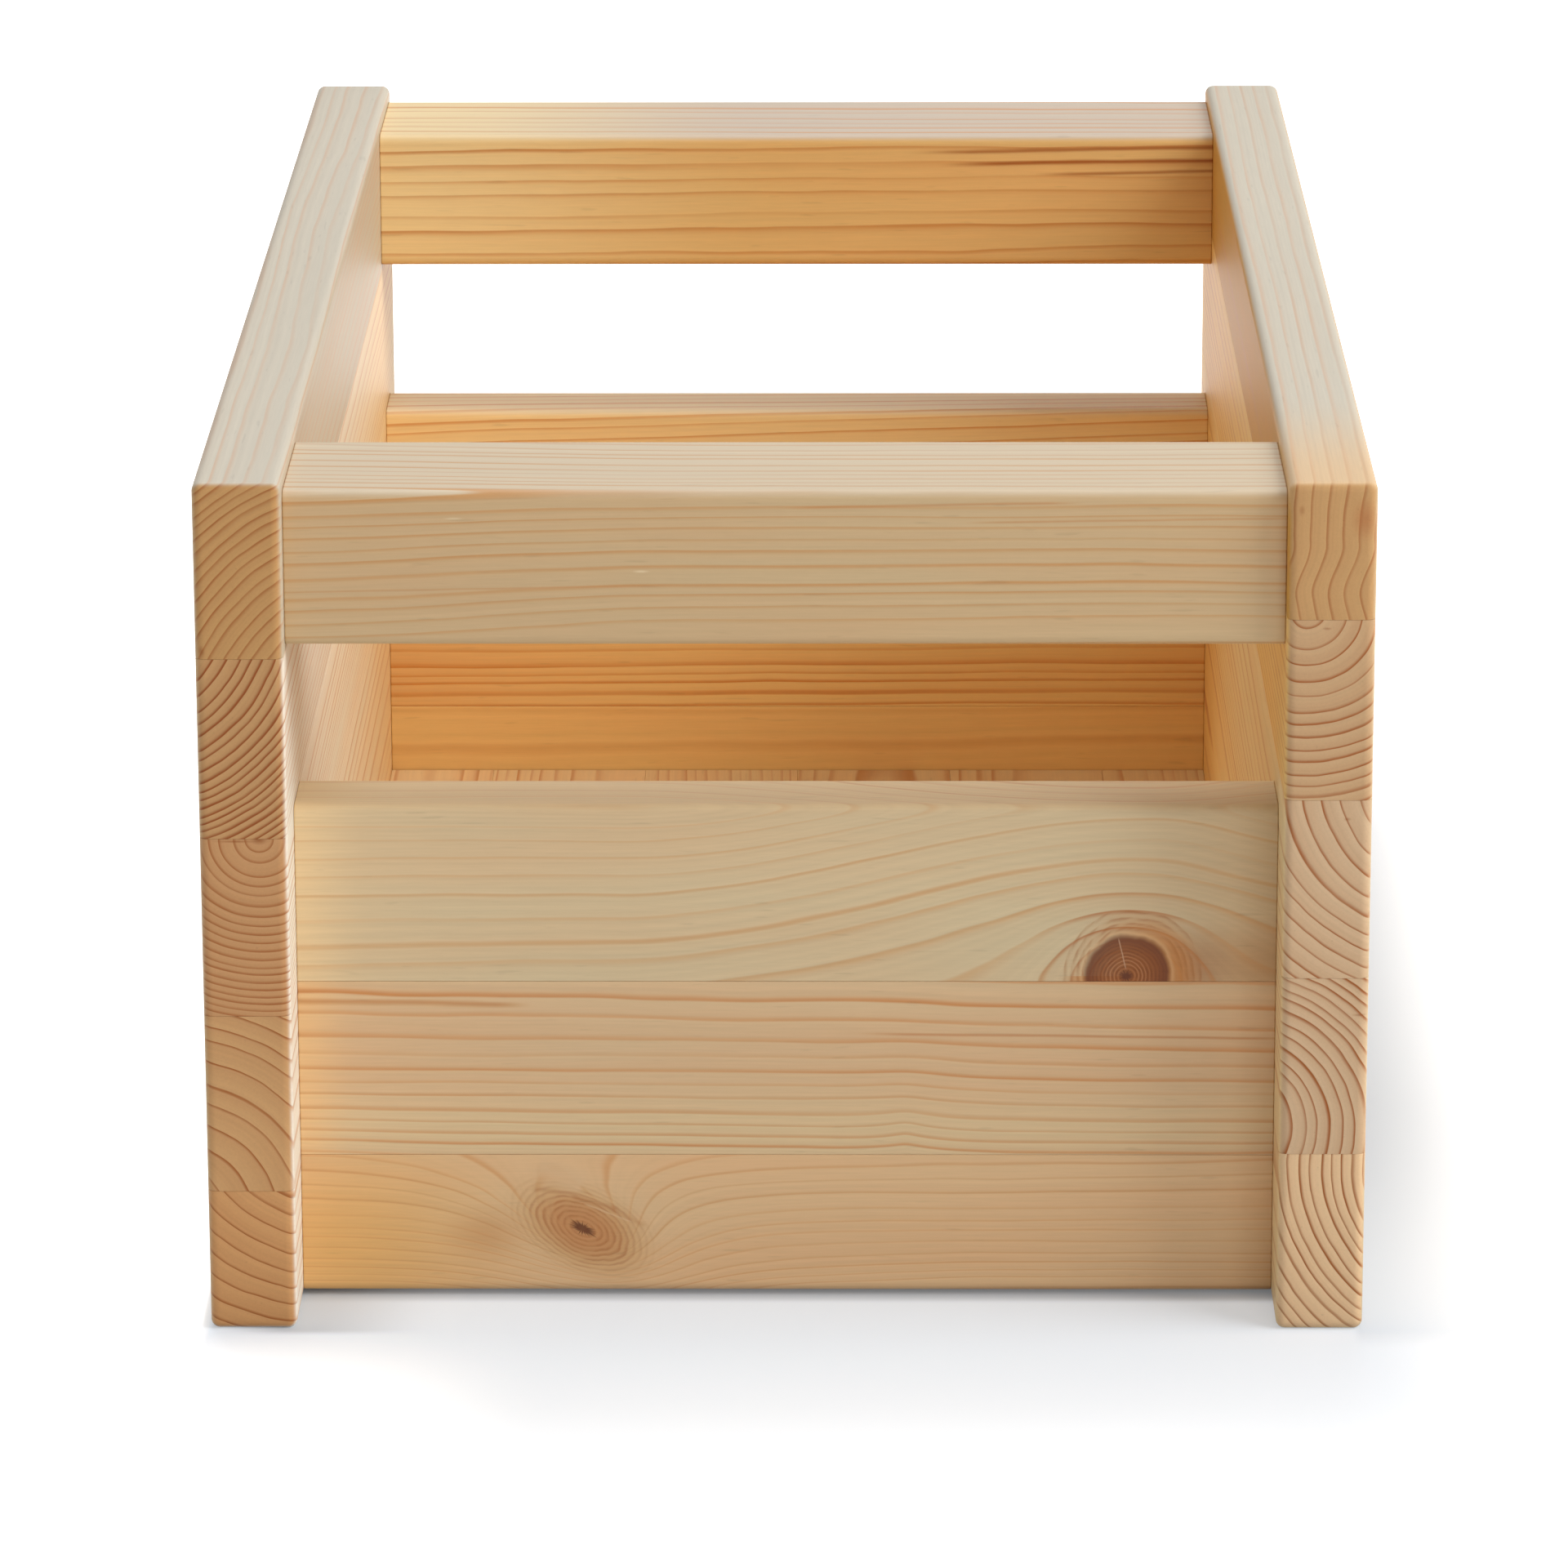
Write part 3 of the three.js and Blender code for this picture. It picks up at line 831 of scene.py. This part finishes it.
# %% The stave tree
def build_stave_tree():
    """A Geometry Nodes tree for a stave that lies along Y, centred on the origin."""
    tree = bpy.data.node_groups.new("eased_stave", "GeometryNodeTree")
    tree.interface.new_socket("Geometry", in_out="OUTPUT", socket_type="NodeSocketGeometry")
    for name in STAVE_SIZES:
        tree.interface.new_socket(name, in_out="INPUT", socket_type="NodeSocketFloat")
    tree.interface.new_socket("Material", in_out="INPUT", socket_type="NodeSocketMaterial")
    graph = Graph(tree)
    outputs = tree.nodes.new("NodeGroupInput").outputs
    size = {name: Wire(graph, outputs[name]) for name in STAVE_SIZES}

    line = graph.add("GeometryNodeCurvePrimitiveLine", None, {"End": (0.0, 1.0, 0.0)})
    path = graph.add("GeometryNodeResampleCurve", None, {"Curve": line, "Count": RINGS})
    circle = graph.add("GeometryNodeCurvePrimitiveCircle", None, {"Resolution": OUTLINE_POINTS})
    sweep = graph.add(
        "GeometryNodeCurveToMesh", None, {"Curve": path, "Profile Curve": circle, "Fill Caps": True}
    )

    number = graph.add("GeometryNodeInputIndex")
    ring = graph.math("FLOOR", number / float(OUTLINE_POINTS))
    point = number - ring * float(OUTLINE_POINTS)
    corner = graph.math("FLOOR", point / float(CORNER_POINTS))
    step = point - corner * float(CORNER_POINTS)
    angle = (corner + graph.ramp(step, 1.0, ROUND_STEPS + 1.0, smooth=False)) * QUARTER_TURN
    after = graph.math("COMPARE", step, CORNER_POINTS - 1.0, 0.5)
    before = graph.math("COMPARE", step, 0.0, 0.5)
    slide = (after - before) * size["Margin"]
    diagonal = corner * QUARTER_TURN + QUARTER_TURN / 2
    to_right = graph.math("SIGN", graph.math("COSINE", diagonal))
    to_top = graph.math("SIGN", graph.math("SINE", diagonal))

    from_end = graph.math("MINIMUM", ring, RINGS - 1.0 - ring)
    facing = graph.math("SIGN", ring - (RINGS - 1.0) / 2)
    tilt = graph.ramp(from_end, 1.0, ROUND_STEPS + 1.0, 0.0, QUARTER_TURN, smooth=False)
    first = graph.math("COMPARE", from_end, 0.0, 0.5)
    last = graph.math("COMPARE", from_end, END_RINGS - 1.0, 0.5)
    inset = size["End Arris"] * (1.0 - graph.math("SINE", tilt)) + first * size["Margin"]
    drop = size["End Arris"] * (1.0 - graph.math("COSINE", tilt)) + last * size["Margin"]

    is_top = (to_top + 1.0) / 2.0
    outer = is_top * size["High Edge Outer"] + (1.0 - is_top) * size["Low Edge Outer"]
    eased = outer * (size["Arris"] - inset) + (1.0 - outer) * size["Seam"]
    radius = graph.math("MAXIMUM", eased, SHARPEST)
    cosine = graph.math("COSINE", angle)
    sine = graph.math("SINE", angle)
    x = to_right * (size["Width"] / 2.0 - inset - radius) + radius * cosine - slide * sine
    z = to_top * (size["Height"] / 2.0 - inset * outer - radius) + radius * sine + slide * cosine
    y = facing * (size["Length"] / 2.0 - drop)

    moved = graph.add(
        "GeometryNodeSetPosition", None, {"Geometry": sweep, "Position": graph.combine(x, y, z)}
    )
    stored = graph.add(
        "GeometryNodeStoreNamedAttribute",
        {"data_type": "FLOAT", "domain": "POINT"},
        {"Geometry": moved, "Name": "end_grain", "Value": graph.math("COSINE", tilt)},
    )
    merged = graph.add("GeometryNodeMergeByDistance", None, {"Geometry": stored, "Distance": 1e-6})
    # The moved outline runs the other way round than the circle, so its faces point inward.
    outward = graph.add("GeometryNodeFlipFaces", None, {"Mesh": merged})
    smooth = graph.add("GeometryNodeSetShadeSmooth", None, {"Geometry": outward})
    real = graph.add("GeometryNodeRealizeInstances", None, {"Geometry": smooth})
    dressed = graph.add(
        "GeometryNodeSetMaterial",
        None,
        {"Geometry": real, "Material": Wire(graph, outputs["Material"])},
    )
    graph.add("NodeGroupOutput", None, {"Geometry": dressed}, None)
    return tree


stave_tree = build_stave_tree()
print("nodes in the stave tree:", len(stave_tree.nodes))

# %% [markdown]
# ## Making the boards
#
# The tree runs on an empty carrier object. Its inputs are set by the identifiers of its
# sockets, the result is taken as a plain mesh, and the carrier is thrown away. The boards
# between the sides have their grain along X, so their mesh is turned a quarter before it is
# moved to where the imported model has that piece.

# %% Take a stave out of the tree
def stave_mesh(name, sizes):
    """A plain mesh from the stave tree, with its inputs by name."""
    carrier = bpy.data.objects.new(f"{name}_carrier", bpy.data.meshes.new(f"{name}_carrier"))
    bpy.context.scene.collection.objects.link(carrier)
    modifier = carrier.modifiers.new("stave", "NODES")
    modifier.node_group = stave_tree
    identifiers = {
        item.name: item.identifier
        for item in stave_tree.interface.items_tree
        if item.in_out == "INPUT"
    }
    for socket_name, value in sizes.items():
        modifier[identifiers[socket_name]] = value
    evaluated = carrier.evaluated_get(bpy.context.evaluated_depsgraph_get())
    mesh = bpy.data.meshes.new_from_object(evaluated)
    bare = carrier.data
    bpy.data.objects.remove(carrier)
    bpy.data.meshes.remove(bare)
    return mesh


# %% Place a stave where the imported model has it
SEAM = 0.12 * MM
MARGIN = 0.3 * MM


def add_stave(name, grain, arris, end_arris, outer_edges, seed):
    """Replaces one packed stave by an eased one, dressed in its own pine."""
    low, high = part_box(name)
    size = high - low
    centre = (low + high) / 2
    thickness, length = (size.y, size.x) if grain == "X" else (size.x, size.y)
    middle = (centre.y if grain == "X" else centre.x) / MM
    half = thickness / 2 / MM
    material = pine(name, grain, middle, (-half, low.z / MM), (half, high.z / MM), seed)
    mesh = stave_mesh(name, {
        "Width": thickness,
        "Length": length,
        "Height": size.z,
        "Arris": arris,
        "End Arris": end_arris,
        "Seam": SEAM,
        "Margin": MARGIN,
        "Low Edge Outer": outer_edges[0],
        "High Edge Outer": outer_edges[1],
        "Material": material,
    })
    if grain == "X":
        mesh.transform(Matrix.Rotation(-QUARTER_TURN, 4, "Z"))
    mesh.transform(Matrix.Translation(centre))
    piece = bpy.data.objects.new(f"{name}_wood", mesh)
    bpy.context.scene.collection.objects.link(piece)
    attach(piece, "root")
    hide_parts(name)
    return piece


# %% The side boards
SIDE_ARRIS = 1.9 * MM
SIDE_STAVES = 5
made = []
for side_index, side in enumerate(("left", "right")):
    for number in range(1, SIDE_STAVES + 1):
        outer = (float(number == 1), float(number == SIDE_STAVES))
        name = f"{side}_side_stave_{number}"
        seed = 1 + side_index * SIDE_STAVES + number
        made.append(add_stave(name, "Y", SIDE_ARRIS, SIDE_ARRIS, outer, seed))
print("side staves:", len(made))

# %% The rails and panels
RAIL_ARRIS = 2.0 * MM
PANEL_ARRIS = 2.2 * MM
PANEL_STAVES = 3
for end_index, end in enumerate(("front", "back")):
    rail_seed = 21 + end_index
    made.append(
        add_stave(f"{end}_rail", "X", RAIL_ARRIS, 0.0, (1.0, 1.0), rail_seed)
    )
    for number in range(1, PANEL_STAVES + 1):
        outer = (float(number == 1), float(number == PANEL_STAVES))
        name = f"{end}_panel_stave_{number}"
        seed = 31 + end_index * PANEL_STAVES + number
        made.append(add_stave(name, "X", PANEL_ARRIS, 0.0, outer, seed))

# %% The floor
# Its staves lie side by side in X, so their glued edges are upright and their section is all
# seam: no edge of the floor is rounded.
for number in range(1, FLOOR_STAVES + 1):
    name = f"floor_stave_{number}"
    made.append(add_stave(name, "Y", 0.0, 0.0, (0.0, 0.0), 50 + number))
print("pieces of pine:", len(made))

# %% [markdown]
# ## The dowels
#
# They are hidden in their bores, but they are real pieces, so they get real beech: pinkish
# brown, nearly without rings, with the short dark flecks that beech shows along the grain.

# %% Beech
def beech():
    """Beech for a dowel that lies along X."""
    material, graph = new_material("beech_dowel")
    place = Place(graph, "X", 0.0, 3)
    fleck = graph.ramp(graph.noise(place.stretched(0.25), 1.4, 1.0), 0.25, 0.55)
    fibre = graph.noise(place.stretched(0.05), 3.0, 3.0, 0.6)
    wood = graph.mix(fleck * 0.6, colour(212, 172, 130), colour(172, 120, 80))
    wood = graph.scale(wood, 1.0 + fibre * 0.08)
    bump = graph.add(
        "ShaderNodeBump", None, {"Strength": 0.4, "Distance": 0.03 * MM, "Height": fibre}
    )
    rough = 0.66 + fibre * 0.06
    shader = graph.add(
        "ShaderNodeBsdfPrincipled",
        None,
        {"Base Color": wood, "Roughness": rough, "IOR": 1.5, "Normal": bump},
    )
    graph.add("ShaderNodeOutputMaterial", None, {"Surface": shader}, None)
    return material


beech_material = beech()
dowels = [node for name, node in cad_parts.items() if "dowel" in name]
for node in dowels:
    for material_slot in node.material_slots:
        material_slot.material = beech_material
print("dowels:", len(dowels))

# %% [markdown]
# ## Floor and light
#
# The floor is one large pale plane. The camera and reflections see it with a glow of its own,
# which gives the object no light. The glow is weak close to the box, so that the box's soft
# shadow stays in front of it and beside its right board, and grows outwards until the floor is
# white. Beside the right board, at the foot of the panels and by the left foot, where the box
# keeps most light off the floor, the glow is weaker still. The surround is white to the camera
# and a gentle, even light to the box. Three soft lamps do the rest: the key lamp stands far to
# the right and a little in front, so it whitens the left inner face and leaves the right one
# dark, one behind lights the top edges and lays the shadow forwards, and a weak low one in
# front lights the faces that the camera sees.

# %% The studio floor
# Lengths are in metres. A gap is how far a point lies from the box, and a fade multiplies it
# where the shadow is narrower.
FLOOR_SIZE = 30.0
FLOOR_NEAR = (0.56, 0.60, 0.65, 1.0)  # a little blue, against the warm light off the wood
FLOOR_FAR = (0.75, 0.75, 0.75, 1.0)
PAINT_FADES_AT = 0.16
GLOW_NEAR = 0.385
GLOW_RISE, RISES_TO = 0.17, 0.12
GLOW_FAR, FAR_GLOW = 0.6, (0.09, 0.2)  # where the far glow starts and is all there
GLOW_HUE = (0.915, 0.958, 1.0, 1.0)
HUE_FADES_AT, HUE_KEPT_BESIDE = 0.06, 0.8
HUE_LOST_RIGHT_FRONT, RIGHT_FRONT_AT = 0.9, 0.004
WHITE = (1.0, 1.0, 1.0, 1.0)
HALF_WIDTH, HALF_LENGTH = 0.12, 0.20
INNER_HALF_WIDTH, PANEL_FACE = 0.102, 0.18
FADE_RIGHT = 3.4
FADE_LEFT_BESIDE, FADE_LEFT_IN_FRONT, IN_FRONT = 60.0, 6.0, 0.03
RIGHT_SHADE, RIGHT_SHADE_AT_FRONT, RIGHT_SHADE_ENDS = 0.33, 0.35, 0.012
PANEL_SHADE, PANEL_SHADE_REACH = 0.65, 0.0045
LEFT_FOOT_SHADE, LEFT_FOOT_SHADE_ENDS = 0.7, 0.004


def is_seen(graph):
    """1 for camera rays and for what shows in reflections or through glass."""
    light_path = graph.tree.nodes.new("ShaderNodeLightPath")
    seen = [
        Wire(graph, light_path.outputs[name])
        for name in ("Is Camera Ray", "Is Glossy Ray", "Is Transmission Ray")
    ]
    return graph.math("MINIMUM", seen[0] + seen[1] + seen[2], 1.0)


def floor_material():
    material, graph = new_material("studio_floor")
    texture = graph.add("ShaderNodeTexCoord", output="Object")
    x, y = graph.part(texture, "X"), graph.part(texture, "Y")
    right_gap = graph.math("MAXIMUM", x - HALF_WIDTH, 0.0) * FADE_RIGHT
    from_middle = graph.math("ABSOLUTE", y)
    end_gap = graph.math("MAXIMUM", from_middle - HALF_LENGTH, 0.0)
    fade_left = graph.ramp(end_gap, 0.0, IN_FRONT, FADE_LEFT_BESIDE, FADE_LEFT_IN_FRONT)
    left_gap = graph.math("MAXIMUM", -x - HALF_WIDTH, 0.0) * fade_left
    front_gap = end_gap * graph.ramp(x, -HALF_WIDTH, -0.4 * HALF_WIDTH, FADE_LEFT_IN_FRONT, 1.0)
    gap = graph.length(right_gap + left_gap, front_gap)

    # Painted shadow: the glow is weaker near the box, and weaker still beside the right board, at
    # the foot of the panels and by the left foot; beside the right board the floor's own colour is
    # darkened too.
    near = graph.ramp(gap, 0.0, RISES_TO, GLOW_NEAR, GLOW_NEAR + GLOW_RISE, smooth=False)
    right = graph.ramp(x, 0.98 * HALF_WIDTH, HALF_WIDTH)
    right = right * graph.ramp(end_gap, 0.0, RIGHT_SHADE_ENDS, 1.0, 0.0)
    right = right * graph.ramp(y, -HALF_LENGTH, -0.25 * HALF_LENGTH, RIGHT_SHADE_AT_FRONT, 1.0)
    shade = 1.0 - right * graph.ramp(right_gap, 0.0, 0.18, RIGHT_SHADE, 0.0)
    inside = graph.ramp(graph.math("ABSOLUTE", x), INNER_HALF_WIDTH, HALF_WIDTH, 1.0, 0.0)
    panel_end = PANEL_FACE + PANEL_SHADE_REACH
    by_panel = graph.ramp(from_middle, PANEL_FACE, panel_end, PANEL_SHADE, 0.0)
    by_foot = graph.ramp(x, -INNER_HALF_WIDTH, -0.7 * INNER_HALF_WIDTH, LEFT_FOOT_SHADE, 0.0)
    by_foot = by_foot * graph.ramp(end_gap, 0.0, LEFT_FOOT_SHADE_ENDS, 1.0, 0.0)
    near = near * (1.0 - inside * by_panel) * (1.0 - inside * by_foot)
    level = near * shade + graph.ramp(gap, *FAR_GLOW, 0.0, GLOW_FAR)
    paint = graph.mix(graph.ramp(gap, 0.0, PAINT_FADES_AT), FLOOR_NEAR, FLOOR_FAR)
    paint = graph.scale(paint, shade)
    plain = graph.add("ShaderNodeBsdfDiffuse", None, {"Color": paint})
    plainer = graph.ramp(gap, 0.0, HUE_FADES_AT) * (1.0 - HUE_KEPT_BESIDE * right)
    right_front = graph.ramp(x, 0.5 * HALF_WIDTH, HALF_WIDTH)
    right_front = right_front * graph.ramp(end_gap, 0.0, RIGHT_FRONT_AT)
    plainer = plainer + HUE_LOST_RIGHT_FRONT * right_front * (1.0 - plainer)
    hue = graph.mix(plainer, GLOW_HUE, WHITE)
    strength = is_seen(graph) * level
    glow = graph.add("ShaderNodeEmission", None, {"Color": hue, "Strength": strength})
    both = graph.add("ShaderNodeAddShader", None, {0: plain, 1: glow})
    graph.add("ShaderNodeOutputMaterial", None, {"Surface": both}, None)
    return material


bpy.ops.mesh.primitive_plane_add(size=FLOOR_SIZE, location=(0, 0, 0))
studio_floor = bpy.context.object
studio_floor.name = "studio_floor"
studio_floor.data.materials.append(floor_material())

# %% The surround
SURROUND_SEEN = 1.0
SURROUND_LIGHT = 0.41


def light_surround():
    """White to the eye and in reflections, and gentler as a light."""
    world = bpy.data.worlds.new("studio")
    bpy.context.scene.world = world
    world.use_nodes = True
    tree = world.node_tree
    tree.nodes.clear()
    graph = Graph(tree)
    strength = SURROUND_LIGHT + is_seen(graph) * (SURROUND_SEEN - SURROUND_LIGHT)
    background = graph.add("ShaderNodeBackground", None, {"Strength": strength})
    graph.add("ShaderNodeOutputWorld", None, {"Surface": background}, None)


light_surround()


# %% The lamps
def add_lamp(name, place, target, size, power):
    """A square soft lamp at a place, facing a target."""
    data = bpy.data.lights.new(name, "AREA")
    data.shape = "SQUARE"
    data.size = size
    data.energy = power
    lamp = bpy.data.objects.new(name, data)
    bpy.context.scene.collection.objects.link(lamp)
    lamp.location = place
    lamp.rotation_euler = (Vector(target) - Vector(place)).to_track_quat("-Z", "Y").to_euler()
    return lamp


BOX_MIDDLE = (0.0, 0.0, 0.09)
add_lamp("lamp_key", (2.45, -0.9, 2.0), BOX_MIDDLE, 2.2, 73.0)
add_lamp("lamp_behind", (-0.2, 1.2, 3.0), BOX_MIDDLE, 1.2, 28.0)
add_lamp("lamp_in_front", (0.8, -3.2, 1.45), BOX_MIDDLE, 1.4, 17.5)


# %% Set the view transform
bpy.context.scene.view_settings.view_transform = "Standard"
